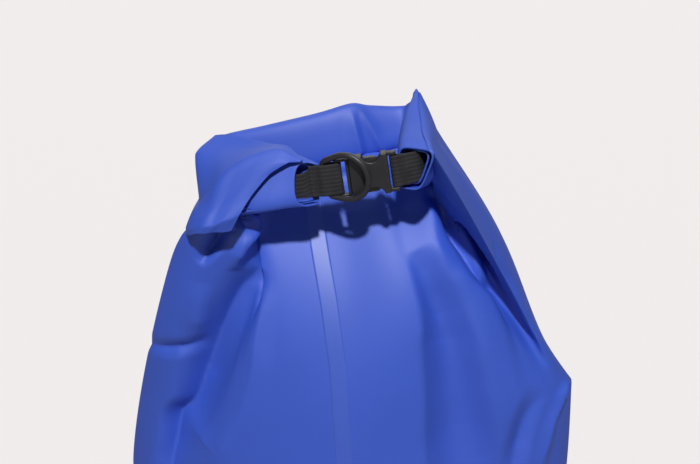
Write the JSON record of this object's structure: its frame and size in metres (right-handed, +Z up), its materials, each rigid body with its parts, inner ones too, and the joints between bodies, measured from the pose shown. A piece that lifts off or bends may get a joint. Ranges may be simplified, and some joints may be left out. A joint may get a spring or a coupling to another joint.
{
  "type": "roll-top dry bag",
  "caption": "Standing roll-top dry bag of coated fabric on a round base, its rolled mouth bent to the front and closed with a side-release buckle and D-ring.",
  "frame": {"origin": "middle of the round base, on the floor the bag stands on", "axes": "+Z up, -Y to the front where the buckle is, +X to the right seen from the front"},
  "size_m": [0.366, 0.272, 0.5325],
  "materials": {
    "tarpaulin": "satin PVC-coated tarpaulin",
    "seam_tape": "satin welded PVC strip",
    "strip_plastic": "matte",
    "webbing": "ribbed nylon webbing",
    "thread": "polyester thread",
    "buckle_plastic": "moulded acetal with a fine texture"
  },
  "bodies": {
    "bag": {"base_cup": "tarpaulin", "base_seam_tape": "seam_tape", "body_tube": "tarpaulin", "lap_seam": "seam_tape", "rolled_mouth": "tarpaulin", "front_stiffener": "strip_plastic", "rear_stiffener": "strip_plastic", "left_webbing": "webbing", "left_stitching": "thread", "buckle_plug": "buckle_plastic"},
    "right_end": {"right_roll_end": "tarpaulin", "right_front_stiffener": "strip_plastic", "right_rear_stiffener": "strip_plastic", "right_webbing": "webbing", "right_stitching": "thread", "buckle_socket": "buckle_plastic"},
    "upper_prong": {"upper_prong": "buckle_plastic"},
    "lower_prong": {"lower_prong": "buckle_plastic"},
    "d_ring": {"d_ring": "buckle_plastic"}
  },
  "joints": [
    {"name": "buckle_release", "type": "slide", "parent": "bag", "child": "right_end", "axis": [0.9903, 0, 0.1392], "range_m": [0, 0.026], "deforming": ["upper_prong", "lower_prong"]},
    {"name": "upper_prong_squeeze", "type": "hinge", "parent": "bag", "child": "upper_prong", "pos_m": [0.00054, -0.075, 0.49517], "axis": [0, 1, 0], "range_deg": [0, 13], "stiffness_Nm_per_rad": 0.02},
    {"name": "lower_prong_squeeze", "type": "hinge", "parent": "bag", "child": "lower_prong", "pos_m": [0.00277, -0.075, 0.47933], "axis": [0, 1, 0], "range_deg": [-13, 0], "stiffness_Nm_per_rad": 0.02},
    {"name": "d_ring_swing", "type": "hinge", "parent": "bag", "child": "d_ring", "pos_m": [-0.01841, -0.075, 0.48342], "axis": [0.2419, 0, -0.9703], "range_deg": [0, 120]}
  ],
  "couplings": [
    {"joint": "lower_prong_squeeze", "follows": "upper_prong_squeeze", "ratio": -1}
  ]
}
